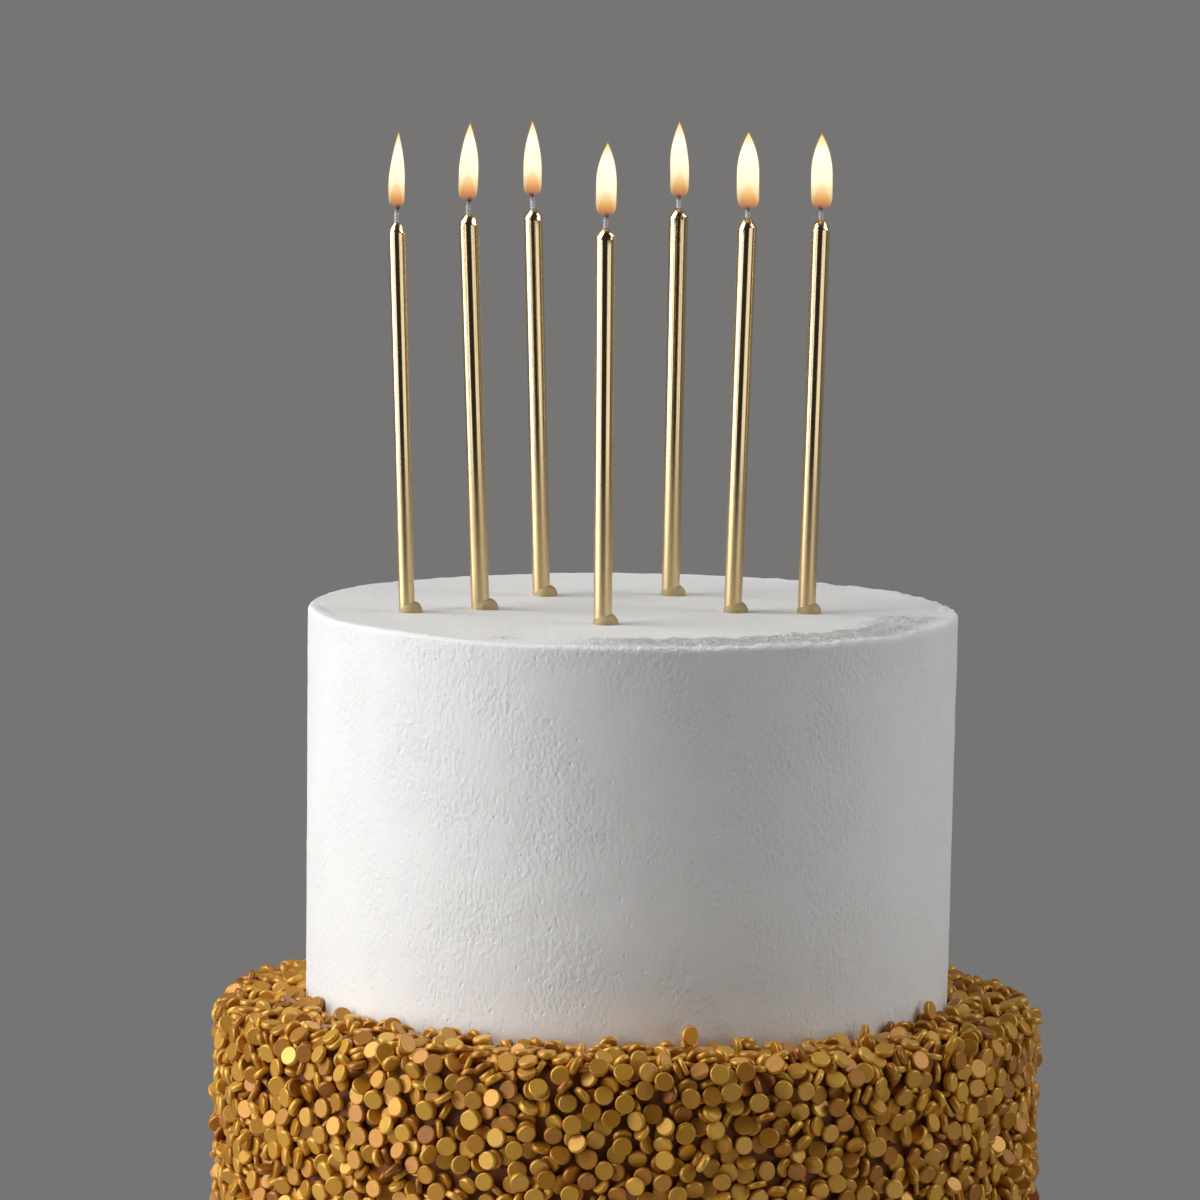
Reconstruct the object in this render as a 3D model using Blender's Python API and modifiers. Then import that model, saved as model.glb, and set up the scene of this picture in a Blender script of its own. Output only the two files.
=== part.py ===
"""Two-tier birthday cake with seven tall candles, built as separate solids.

Units are metres and +Z is up. The origin is the centre of the cake's base. +X is to the right
of someone who stands in front of the cake, and +Y points away from them.

The lower tier's solid runs out to the uneven outline of its coat of confetti sprinkles, and the
upper tier stands in a shallow seat in that coat. Each candle stands in a hole in the upper tier,
with a small bead round its foot, a wick on its tip and a flame over the wick.
"""

import math

import bmesh
import bpy
from mathutils import Matrix, Vector, noise

# Driving dimensions.
GAP = 0.0003  # clear space left between solids that touch
TIER_HEIGHT = 0.100
LOWER_RADIUS = 0.1025  # mean outside of the sprinkle coat
UPPER_RADIUS = 0.080  # at the rim
UPPER_FOOT_RADIUS = 0.0792
CANDLE_DEPTH = 0.025  # buried length
CANDLE_RADIUS = 0.00243  # under the neck
CANDLE_FOOT_RADIUS = 0.00217

# Sprinkle coat.
LEDGE_RISE = 0.0045  # coat on top of the lower tier's shoulder
HEAP_RISE = 0.0055  # coat where it is heaped against the upper tier
HEAP_FOOT_RADIUS = 0.088  # the heap has run out to the ledge's level here
SHOULDER = 0.0040
BASE_CHAMFER = 0.0015
COAT_BUMP = 0.0011
COAT_GRAIN = 0.0125  # spacing of the bumps

# Buttercream of the upper tier.
RIM_ROUNDING = 0.0012
RIM_WAVE = 0.0005
WALL_WAVE = 0.00025
FLAT_TOP_RADIUS = 0.066  # the top is level inside this
WAVE_GRAIN = 0.030
PLAIN_FOOT = 0.007  # the wall has no wave below this height, where it stands in the seat
WAVE_FADE = 0.013

# Candle details.
HOLE_ROOM = 0.00036  # a hole's radius beyond that of the candle's buried end
NECK_HEIGHT = 0.0009
NECK_ROUNDING = 0.0011
TIP_CONE_HEIGHT = 0.0020
TIP_RADIUS = 0.00065
END_CHAMFER = 0.0005
WICK_RADIUS = 0.00058
WICK_BEND = 0.00035
BEAD_RADIUS = 0.0033
BEAD_HEIGHT = 0.0025
BEAD_OFFSET = 0.00045  # the bead sits a little to the right of its candle

TIER_SIDES = 72
ROUND_SIDES = 12

# One row for each candle: X and Y of its foot, its lean to the right in degrees, its thickness
# beside the others', how far its tip stands above the cake and its wick's length. Then its
# flame's radius and height, the sideways place of the flame's tip, how far up it starts to
# close, as a share of its height, and how full it stays above that.
CANDLES = (
    (-0.0551, -0.0143, -2.50, 0.87, 0.0955, 0.0033, 0.00210, 0.0178, 0.00035, 0.34, 1.7),
    (-0.0369, -0.0053, -2.98, 1.00, 0.0972, 0.0030, 0.00252, 0.0183, 0.00035, 0.38, 1.9),
    (-0.0225, 0.0259, -2.34, 0.97, 0.0963, 0.0030, 0.00240, 0.0178, -0.00042, 0.36, 1.9),
    (-0.0075, -0.0328, -0.53, 1.00, 0.0965, 0.0025, 0.00265, 0.0171, 0.00032, 0.44, 2.1),
    (0.0093, 0.0317, 0.22, 1.00, 0.0967, 0.0023, 0.00246, 0.0181, -0.00020, 0.38, 2.2),
    (0.0244, -0.0029, 1.12, 0.98, 0.0972, 0.0017, 0.00292, 0.0183, -0.00015, 0.44, 2.2),
    (0.0425, -0.0025, 1.06, 0.98, 0.0970, 0.0023, 0.00280, 0.0178, -0.00030, 0.44, 2.2),
)


def clear_scene():
    """Removes every object of the startup scene."""
    for thing in list(bpy.data.objects):
        bpy.data.objects.remove(thing)


def new_collection(name):
    """Makes a collection in the scene."""
    made = bpy.data.collections.new(name)
    bpy.context.scene.collection.children.link(made)
    return made


def finish(name, colour, roughness, metallic=0.0, glow=0.0):
    """Makes a Principled material from a linear colour."""
    made = bpy.data.materials.new(name)
    made.use_nodes = True
    shader = made.node_tree.nodes["Principled BSDF"]
    shader.inputs["Base Color"].default_value = (*colour, 1.0)
    shader.inputs["Roughness"].default_value = roughness
    shader.inputs["Metallic"].default_value = metallic
    shader.inputs["Emission Color"].default_value = (*colour, 1.0)
    shader.inputs["Emission Strength"].default_value = glow
    return made


def place(name, data, material, collection):
    """Links a mesh or curve as a named object with its material."""
    made = bpy.data.objects.new(name, data)
    collection.objects.link(made)
    data.materials.append(material)
    return made


def turned(name, profile, sides, material, collection):
    """Turns a profile of (radius, height) points about Z with a Screw modifier.

    The profile runs from the axis at the top, down the outer side, to the axis at the bottom.
    """
    mesh = bpy.data.meshes.new(name)
    points = [(radius, 0.0, height) for radius, height in profile]
    mesh.from_pydata(points, [(i, i + 1) for i in range(len(points) - 1)], [])
    made = place(name, mesh, material, collection)
    screw = made.modifiers.new("turn", "SCREW")
    screw.steps = screw.render_steps = sides
    screw.use_merge_vertices = True
    screw.merge_threshold = 0.00005
    return made


def made_solid(thing):
    """Replaces an object's data with its evaluated mesh, so that its points can be moved."""
    bpy.context.view_layer.update()
    graph = bpy.context.evaluated_depsgraph_get()
    mesh = bpy.data.meshes.new_from_object(thing.evaluated_get(graph))
    thing.modifiers.clear()
    thing.data = mesh
    return thing


def move_points(thing, offset_of):
    """Moves each point of a mesh by offset_of(point, normal)."""
    shape = bmesh.new()
    shape.from_mesh(thing.data)
    shape.normal_update()
    offsets = [offset_of(v.co.copy(), v.normal.copy()) for v in shape.verts]
    for vertex, offset in zip(shape.verts, offsets):
        vertex.co += offset
    shape.to_mesh(thing.data)
    shape.free()


def arc(centre, radii, start, end, steps):
    """Points on an elliptical arc in the profile's plane, with angles in degrees."""
    found = []
    for i in range(steps + 1):
        angle = math.radians(start + (end - start) * i / steps)
        found.append(
            (centre[0] + radii[0] * math.cos(angle), centre[1] + radii[1] * math.sin(angle))
        )
    return found


def even(start, end, count):
    """Evenly spaced numbers strictly between start and end."""
    return [start + (end - start) * i / (count + 1) for i in range(1, count + 1)]


def smooth_step(value, low, high):
    """0 below low, 1 above high, and a smooth rise between."""
    share = min(1.0, max(0.0, (value - low) / (high - low)))
    return share * share * (3.0 - 2.0 * share)


def make_lower_tier(material, collection):
    """The lower tier out to its coat's uneven outline, with the upper tier's seat on top."""
    seat_radius = UPPER_FOOT_RADIUS + GAP
    seat_top = TIER_HEIGHT + HEAP_RISE
    ledge_top = TIER_HEIGHT + LEDGE_RISE
    shoulder_radius = LOWER_RADIUS - SHOULDER
    profile = [(0.0, TIER_HEIGHT - GAP), (seat_radius, TIER_HEIGHT - GAP)]
    profile.append((seat_radius, seat_top))
    profile += [
        (
            radius,
            seat_top - (seat_top - ledge_top) * smooth_step(radius, seat_radius, HEAP_FOOT_RADIUS),
        )
        for radius in even(seat_radius, shoulder_radius, 3)
    ]
    profile += arc((shoulder_radius, ledge_top - SHOULDER), (SHOULDER, SHOULDER), 90, 0, 3)
    profile += [(LOWER_RADIUS, z) for z in even(ledge_top - SHOULDER, BASE_CHAMFER, 12)]
    profile += [(LOWER_RADIUS, BASE_CHAMFER), (LOWER_RADIUS - BASE_CHAMFER, 0.0), (0.0, 0.0)]
    tier = made_solid(turned("tier_lower", profile, TIER_SIDES, material, collection))

    def bump(point, normal):
        """Pushes the coat out and in, and leaves the seat and the flat base alone."""
        radius = math.hypot(point.x, point.y)
        if point.z < BASE_CHAMFER or radius < seat_radius + GAP:
            return Vector()
        return normal * (COAT_BUMP * noise.noise(point / COAT_GRAIN))

    move_points(tier, bump)
    return tier


def make_upper_tier(material, collection, holes):
    """The smooth upper tier, with a faintly wavy wall and rim and a hole for each candle."""
    base, top = TIER_HEIGHT, 2.0 * TIER_HEIGHT
    rim = UPPER_RADIUS - RIM_ROUNDING
    profile = [(0.0, top), (FLAT_TOP_RADIUS, top)]
    profile += [(radius, top) for radius in even(FLAT_TOP_RADIUS, rim, 1)]
    profile += arc((rim, top - RIM_ROUNDING), (RIM_ROUNDING, RIM_ROUNDING), 90, 0, 2)
    profile += [
        (UPPER_FOOT_RADIUS + (UPPER_RADIUS - UPPER_FOOT_RADIUS) * (z - base) / TIER_HEIGHT, z)
        for z in even(top - RIM_ROUNDING, base, 7)
    ]
    profile += [(UPPER_FOOT_RADIUS, base), (0.0, base)]
    tier = made_solid(turned("tier_upper", profile, TIER_SIDES, material, collection))

    def wave(point, normal):
        """Waves the wall above the seat, and lifts or lowers the rim."""
        outward = Vector((point.x, point.y, 0.0))
        value = noise.noise(point / WAVE_GRAIN)
        wall = smooth_step(point.z, base + PLAIN_FOOT, base + PLAIN_FOOT + WAVE_FADE)
        edge = smooth_step(outward.length, FLAT_TOP_RADIUS, rim)
        lift = edge * smooth_step(point.z, top - 2.0 * RIM_ROUNDING, top)
        return outward.normalized() * (WALL_WAVE * value * wall * edge) + Vector(
            (0.0, 0.0, RIM_WAVE * value * lift)
        )

    move_points(tier, wave)
    cut = tier.modifiers.new("candle_holes", "BOOLEAN")
    cut.operation = "DIFFERENCE"
    cut.operand_type = "COLLECTION"
    cut.collection = holes
    return tier


class Candle:
    """Where one candle stands, how it leans, and the shape of its flame."""

    def __init__(self, number, row):
        x, y, lean, girth, stand, wick_length, *flame = row
        self.number = number
        self.lean = math.radians(lean)
        self.foot = Vector((x, y, 2.0 * TIER_HEIGHT))
        self.axis = Vector((math.sin(self.lean), 0.0, math.cos(self.lean)))
        self.turn = Matrix.Rotation(self.lean, 4, "Y")
        self.length = stand / math.cos(self.lean)
        self.wick_length = wick_length
        self.radius = CANDLE_RADIUS * girth
        self.foot_radius = CANDLE_FOOT_RADIUS * girth
        self.flame_radius, self.flame_height, self.flame_shift, self.closes, self.fullness = flame

    def at(self, along):
        """The point on the axis this far up from where it leaves the cake."""
        return self.foot + self.axis * along


def make_hole(candle, holes):
    """A cutter for the candle's hole through its bead and into the cake."""
    depth = CANDLE_DEPTH + GAP
    above = 2.0 * BEAD_HEIGHT
    shape = bmesh.new()
    bmesh.ops.create_cone(
        shape,
        cap_ends=True,
        segments=ROUND_SIDES,
        radius1=candle.foot_radius + HOLE_ROOM,
        radius2=candle.foot_radius + HOLE_ROOM,
        depth=depth + above,
    )
    mesh = bpy.data.meshes.new(f"hole_{candle.number}")
    shape.to_mesh(mesh)
    shape.free()
    cutter = bpy.data.objects.new(mesh.name, mesh)
    holes.objects.link(cutter)
    cutter.hide_render = True
    cutter.display_type = "WIRE"
    cutter.matrix_world = Matrix.Translation(candle.at((above - depth) / 2.0)) @ candle.turn
    return cutter


def make_stick(candle, material, collection):
    """The tapered stick, from its buried end to the small flat under the wick."""
    end = -CANDLE_DEPTH
    neck = candle.length - TIP_CONE_HEIGHT - NECK_HEIGHT
    profile = [(0.0, candle.length), (TIP_RADIUS, candle.length)]
    profile += arc(
        (candle.radius - NECK_ROUNDING, neck), (NECK_ROUNDING, NECK_HEIGHT), 75, 0, 3
    )
    profile += [(candle.foot_radius, end + END_CHAMFER), (candle.foot_radius - END_CHAMFER, end)]
    profile.append((0.0, end))
    stick = turned(f"candle_{candle.number}", profile, ROUND_SIDES, material, collection)
    stick.matrix_world = Matrix.Translation(candle.foot) @ candle.turn
    return stick


def make_bead(candle, material, collection, hole):
    """The low round bead at a candle's foot, with the candle's hole through it."""
    profile = arc((0.0, 0.0), (BEAD_RADIUS, BEAD_HEIGHT), 90, 0, 4) + [(0.0, 0.0)]
    bead = turned(f"bead_{candle.number}", profile, ROUND_SIDES, material, collection)
    bead.location = candle.foot + Vector((BEAD_OFFSET, 0.0, GAP))
    cut = bead.modifiers.new("candle_hole", "BOOLEAN")
    cut.operation = "DIFFERENCE"
    cut.object = hole
    return bead


def make_wick(candle, material, collection):
    """A short wick that rises from the candle's tip and bends a little at its end."""
    data = bpy.data.curves.new(f"wick_{candle.number}", "CURVE")
    data.dimensions = "3D"
    data.bevel_depth = WICK_RADIUS
    data.bevel_resolution = 2
    data.use_fill_caps = True
    line = data.splines.new("POLY")
    steps = 4
    line.points.add(steps)
    bend = math.copysign(WICK_BEND, candle.flame_shift)
    for i, point in enumerate(line.points):
        share = i / steps
        place_at = candle.at(candle.length + GAP + candle.wick_length * share)
        point.co = (*(place_at + Vector((bend * share * share, 0.0, 0.0))), 1.0)
    return place(data.name, data, material, collection)


def make_flame(candle, material, collection):
    """A blunt-based, pointed flame that stands upright over the wick's end."""

    def radius(share):
        """The flame's radius at this share of its height."""
        if share < candle.closes:
            fade = (candle.closes - share) / candle.closes
            return candle.flame_radius * math.sqrt(1.0 - fade**8)
        rise = (share - candle.closes) / (1.0 - candle.closes)
        return candle.flame_radius * (1.0 - rise**candle.fullness)

    shares = [1.0, 0.95, 0.87, 0.76, 0.62, 0.45, 0.28, 0.12, 0.04, 0.0]
    profile = [(radius(share), candle.flame_height * share) for share in shares]
    flame = made_solid(
        turned(f"flame_{candle.number}", profile, ROUND_SIDES, material, collection)
    )

    def bow(point, normal):
        """Draws the flame's tip to one side."""
        return Vector((candle.flame_shift * (point.z / candle.flame_height) ** 2, 0.0, 0.0))

    move_points(flame, bow)
    wick_end = candle.at(candle.length + GAP + candle.wick_length)
    flame.location = wick_end + Vector((0.0, 0.0, GAP + WICK_RADIUS))
    return flame


def main():
    """Builds the cake, its candles and what is on them."""
    clear_scene()
    cake = new_collection("birthday_cake")
    holes = new_collection("candle_hole_cutters")
    buttercream = finish("buttercream", (0.88, 0.88, 0.87), 0.55)
    sprinkles = finish("gold_sprinkles", (0.56, 0.31, 0.07), 0.45, 0.3)
    gold = finish("gold_foil", (0.83, 0.64, 0.33), 0.2, 1.0)
    wax = finish("pale_wax", (0.50, 0.40, 0.22), 0.4)
    cotton = finish("cotton_wick", (0.62, 0.62, 0.64), 0.9)
    fire = finish("flame", (1.0, 0.82, 0.45), 1.0, 0.0, 2.0)

    for number, row in enumerate(CANDLES, start=1):
        candle = Candle(number, row)
        hole = make_hole(candle, holes)
        make_stick(candle, gold, cake)
        make_bead(candle, wax, cake, hole)
        make_wick(candle, cotton, cake)
        make_flame(candle, fire, cake)
    make_lower_tier(sprinkles, cake)
    make_upper_tier(buttercream, cake, holes)


main()
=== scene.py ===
"""The looks of a two-tier birthday cake with seven lit candles.

The upper tier is white buttercream, smoothed by hand. The lower one is caramel frosting under a
coat of gold confetti sprinkles. Slim foil-gold candles stand in the top, each in a wax bead, with
a braided wick and a flame. Lengths are in metres, +Z is up and the cake's front looks along -Y.
"""

import logging
import math
from dataclasses import dataclass, field
from enum import Enum

import bpy
import numpy as np
from mathutils import Matrix, Vector


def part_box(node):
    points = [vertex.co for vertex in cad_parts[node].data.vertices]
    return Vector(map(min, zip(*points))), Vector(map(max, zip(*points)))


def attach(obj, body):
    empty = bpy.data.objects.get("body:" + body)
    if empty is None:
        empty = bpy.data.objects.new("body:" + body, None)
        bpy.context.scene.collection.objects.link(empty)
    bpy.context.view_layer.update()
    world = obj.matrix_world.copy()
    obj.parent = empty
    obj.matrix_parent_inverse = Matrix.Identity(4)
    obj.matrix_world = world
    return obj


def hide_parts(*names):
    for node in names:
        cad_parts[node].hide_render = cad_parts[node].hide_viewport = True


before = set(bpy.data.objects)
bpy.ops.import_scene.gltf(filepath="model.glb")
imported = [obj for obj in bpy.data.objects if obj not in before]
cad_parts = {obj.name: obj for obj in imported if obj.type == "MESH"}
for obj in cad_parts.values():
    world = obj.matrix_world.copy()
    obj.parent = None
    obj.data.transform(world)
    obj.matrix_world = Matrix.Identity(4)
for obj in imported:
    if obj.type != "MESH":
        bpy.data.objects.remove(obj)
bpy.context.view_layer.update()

MM = 0.001
BODY = "root"
CANDLE_COUNT = 7
log = logging.getLogger("birthday_cake")


# ---------------------------------------------------------------- helpers


def srgb(code: str) -> tuple[float, float, float, float]:
    """Turns a colour into linear light.

    Args:
        code: The colour as six hex digits of sRGB.

    Returns:
        Red, green and blue in linear light, and an alpha of 1.
    """
    parts = [int(code[i : i + 2], 16) / 255.0 for i in (0, 2, 4)]
    linear = [c / 12.92 if c <= 0.04045 else ((c + 0.055) / 1.055) ** 2.4 for c in parts]
    return (*linear, 1.0)


def add_node(
    tree: bpy.types.NodeTree,
    kind: str,
    settings: dict | None = None,
    inputs: dict | None = None,
) -> bpy.types.Node:
    """Adds a node with its settings and links.

    Args:
        tree: The tree that the node goes in.
        kind: The node's type.
        settings: Its properties. "stops" fills a colour ramp with (place, colour) pairs.
        inputs: Its inputs by name or number: a value, or another node's output to link.

    Returns:
        The node.
    """
    made = tree.nodes.new(kind)
    for name, value in (settings or {}).items():
        if name == "stops":
            elements = made.color_ramp.elements
            for number, (place, colour) in enumerate(value):
                stop = elements[number] if number < 2 else elements.new(place)
                stop.position = place
                stop.color = colour
        else:
            setattr(made, name, value)
    for name, value in (inputs or {}).items():
        if isinstance(value, bpy.types.NodeSocket):
            tree.links.new(value, made.inputs[name])
        else:
            made.inputs[name].default_value = value
    return made


def calculated(
    tree: bpy.types.NodeTree, operation: str, *values: float | bpy.types.NodeSocket
) -> bpy.types.NodeSocket:
    """Adds a Math node.

    Args:
        tree: The tree that the node goes in.
        operation: What it works out, such as "MULTIPLY".
        values: What it works on: numbers or other nodes' outputs.

    Returns:
        Its result.
    """
    made = add_node(tree, "ShaderNodeMath", {"operation": operation}, dict(enumerate(values)))
    return made.outputs[0]


def mottling(
    tree: bpy.types.NodeTree, place: bpy.types.NodeSocket, size: float, detail: float
) -> bpy.types.NodeSocket:
    """Adds soft noise.

    Args:
        tree: The tree that the node goes in.
        place: Where each point is.
        size: The size of the noise's largest blots.
        detail: How many finer layers it has.

    Returns:
        The noise, from 0 to 1.
    """
    inputs = {"Vector": place, "Scale": 1.0 / size, "Detail": detail}
    return add_node(tree, "ShaderNodeTexNoise", inputs=inputs).outputs["Fac"]


def tint(
    tree: bpy.types.NodeTree,
    shader: bpy.types.Node,
    share: bpy.types.NodeSocket,
    low: str,
    high: str,
) -> None:
    """Colours a shader with a blend of two colours.

    Args:
        tree: The material's tree.
        shader: Its Principled shader.
        share: How much of the second colour shows, from 0 to 1.
        low: The first colour.
        high: The second colour.
    """
    inputs = {0: share, 6: srgb(low), 7: srgb(high)}
    blend = add_node(tree, "ShaderNodeMix", {"data_type": "RGBA"}, inputs)
    tree.links.new(blend.outputs[2], shader.inputs["Base Color"])


def open_tree(
    name: str, numbers: dict[str, str]
) -> tuple[bpy.types.NodeTree, bpy.types.bpy_prop_collection]:
    """Starts a Geometry Nodes tree that takes a geometry, numbers and a finish.

    Args:
        name: The tree's name.
        numbers: The kind of each number, "Float" or "Int", by its name.

    Returns:
        The tree, and its inputs as sockets by name.
    """
    tree = bpy.data.node_groups.new(name, "GeometryNodeTree")
    for label, kind in {"Geometry": "Geometry", **numbers, "Finish": "Material"}.items():
        tree.interface.new_socket(label, in_out="INPUT", socket_type="NodeSocket" + kind)
    tree.interface.new_socket("Geometry", in_out="OUTPUT", socket_type="NodeSocketGeometry")
    return tree, add_node(tree, "NodeGroupInput").outputs


def grey(value: float) -> tuple[float, float, float, float]:
    """A neutral colour for a ramp that carries a number."""
    return (value, value, value, 1.0)


class SmoothNoise:
    """Seeded smooth noise in space, from about -1 to 1, read for many points at once."""

    CELLS = 48

    def __init__(self, seed: int) -> None:
        """Fills the lattice from a seed."""
        shape = (self.CELLS, self.CELLS, self.CELLS)
        self.lattice = np.random.default_rng(seed).uniform(-1.0, 1.0, shape)

    def at(self, points: np.ndarray, grain: float) -> np.ndarray:
        """Reads the noise.

        Args:
            points: Places, one row each.
            grain: The size of its bumps.

        Returns:
            One number for each place.
        """
        place = points / grain
        low = np.floor(place).astype(int)
        share = place - low
        share = share * share * (3.0 - 2.0 * share)
        total = np.zeros(len(points))
        for corner in np.ndindex(2, 2, 2):
            weight = np.prod(np.where(corner, share, 1.0 - share), axis=1)
            index = (low + np.array(corner)) % self.CELLS
            total += weight * self.lattice[index[:, 0], index[:, 1], index[:, 2]]
        return total


def smooth_step(value: np.ndarray, low: float, high: float) -> np.ndarray:
    """0 below low, 1 above high and a smooth rise between."""
    share = np.clip((value - low) / (high - low), 0.0, 1.0)
    return share * share * (3.0 - 2.0 * share)


def revolved(profile: np.ndarray, sides: int) -> tuple[np.ndarray, list[tuple[int, ...]]]:
    """Turns a profile about Z into a closed skin.

    Args:
        profile: (radius, height) rows from the axis at the top to the axis at the bottom.
        sides: Faces round the axis.

    Returns:
        The points, and the faces as rows of point numbers.
    """
    angles = np.linspace(0.0, 2.0 * math.pi, sides, endpoint=False)
    rings = profile[1:-1]
    x = rings[:, :1] * np.cos(angles)
    y = rings[:, :1] * np.sin(angles)
    z = np.repeat(rings[:, 1:], sides, axis=1)
    skin = np.stack([x, y, z], axis=2).reshape(-1, 3)
    poles = np.array([[0.0, 0.0, profile[0, 1]], [0.0, 0.0, profile[-1, 1]]])
    points = np.concatenate([skin, poles])
    top, bottom = len(skin), len(skin) + 1
    faces: list[tuple[int, ...]] = []
    for row in range(len(rings) - 1):
        here, below = row * sides, (row + 1) * sides
        for i in range(sides):
            j = (i + 1) % sides
            faces.append((here + i, below + i, below + j, here + j))
    last = (len(rings) - 1) * sides
    for i in range(sides):
        j = (i + 1) % sides
        faces.append((top, i, j))
        faces.append((bottom, last + j, last + i))
    return points, faces


def piece_from(
    name: str,
    points: np.ndarray,
    faces: list[tuple[int, ...]],
    material: bpy.types.Material,
    marks: dict[str, np.ndarray] | None = None,
) -> bpy.types.Object:
    """Makes a smooth mesh piece, with its place in its mesh.

    Args:
        name: The piece's name.
        points: Its points.
        faces: Its faces as rows of point numbers.
        material: Its finish.
        marks: Numbers on its points that the finish reads, by name.

    Returns:
        The piece.
    """
    mesh = bpy.data.meshes.new(name)
    mesh.from_pydata(points.tolist(), [], faces)
    mesh.shade_smooth()
    mesh.materials.append(material)
    for mark, values in (marks or {}).items():
        layer = mesh.attributes.new(mark, "FLOAT", "POINT")
        layer.data.foreach_set("value", values.astype(np.float32))
    piece = bpy.data.objects.new(name, mesh)
    bpy.context.scene.collection.objects.link(piece)
    return piece


def hand_over(piece: bpy.types.Object, slot: str, *nodes: str) -> bpy.types.Object:
    """Puts a piece on the cake's body and hides the CAD nodes that it stands for."""
    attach(piece, BODY)
    if nodes:
        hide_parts(*nodes)
    log.info("%s: %d faces", piece.name, len(piece.data.polygons))
    return piece


def grown(
    name: str, seed_mesh: bpy.types.Mesh, tree: bpy.types.NodeTree, inputs: dict
) -> bpy.types.Object:
    """Runs a Geometry Nodes tree on a mesh and keeps the result as a plain mesh.

    Args:
        name: The piece's name.
        seed_mesh: The mesh that the tree starts from.
        tree: The tree.
        inputs: Values of the tree's named inputs.

    Returns:
        The piece.
    """
    source = bpy.data.objects.new(name + "_source", seed_mesh)
    bpy.context.scene.collection.objects.link(source)
    modifier = source.modifiers.new("grow", "NODES")
    modifier.node_group = tree
    sockets = {
        item.name: item.identifier
        for item in tree.interface.items_tree
        if item.item_type == "SOCKET" and item.in_out == "INPUT"
    }
    for label, value in inputs.items():
        modifier[sockets[label]] = value
    bpy.context.view_layer.update()
    graph = bpy.context.evaluated_depsgraph_get()
    mesh = bpy.data.meshes.new_from_object(source.evaluated_get(graph))
    mesh.name = name
    bpy.data.objects.remove(source)
    piece = bpy.data.objects.new(name, mesh)
    bpy.context.scene.collection.objects.link(piece)
    return piece


def node_points(node: str) -> np.ndarray:
    """The points of a CAD node, one row each."""
    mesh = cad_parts[node].data
    flat = np.empty(len(mesh.vertices) * 3, np.float32)
    mesh.vertices.foreach_get("co", flat)
    return flat.reshape(-1, 3).astype(float)


def end_centre(points: np.ndarray, highest: bool, depth: float = 0.1 * MM) -> Vector:
    """The middle of a node's highest or lowest points."""
    level = points[:, 2].max() if highest else points[:, 2].min()
    near = points[np.abs(points[:, 2] - level) < depth]
    return Vector((near.min(axis=0) + near.max(axis=0)) / 2.0)


# ---------------------------------------------------------------- finishes


@dataclass(frozen=True)
class Finish:
    """A Principled finish of one colour, which the finishes below add detail to."""

    name: str
    colour: str
    roughness: float
    metallic: float = 0.0

    def material(self) -> bpy.types.Material:
        """Makes the material."""
        made = bpy.data.materials.new(self.name)
        made.use_nodes = True
        tree = made.node_tree
        tree.nodes.clear()
        shader = add_node(
            tree,
            "ShaderNodeBsdfPrincipled",
            inputs={
                "Base Color": srgb(self.colour),
                "Roughness": self.roughness,
                "Metallic": self.metallic,
            },
        )
        add_node(tree, "ShaderNodeOutputMaterial", inputs={"Surface": shader.outputs[0]})
        place = add_node(tree, "ShaderNodeTexCoord").outputs["Object"]
        self.detail(tree, shader, place)
        return made

    def detail(
        self, tree: bpy.types.NodeTree, shader: bpy.types.Node, place: bpy.types.NodeSocket
    ) -> None:
        """Adds the finish's own detail. A plain finish has none.

        Args:
            tree: The material's tree.
            shader: Its Principled shader.
            place: Where each point is on the cake.
        """


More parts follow.
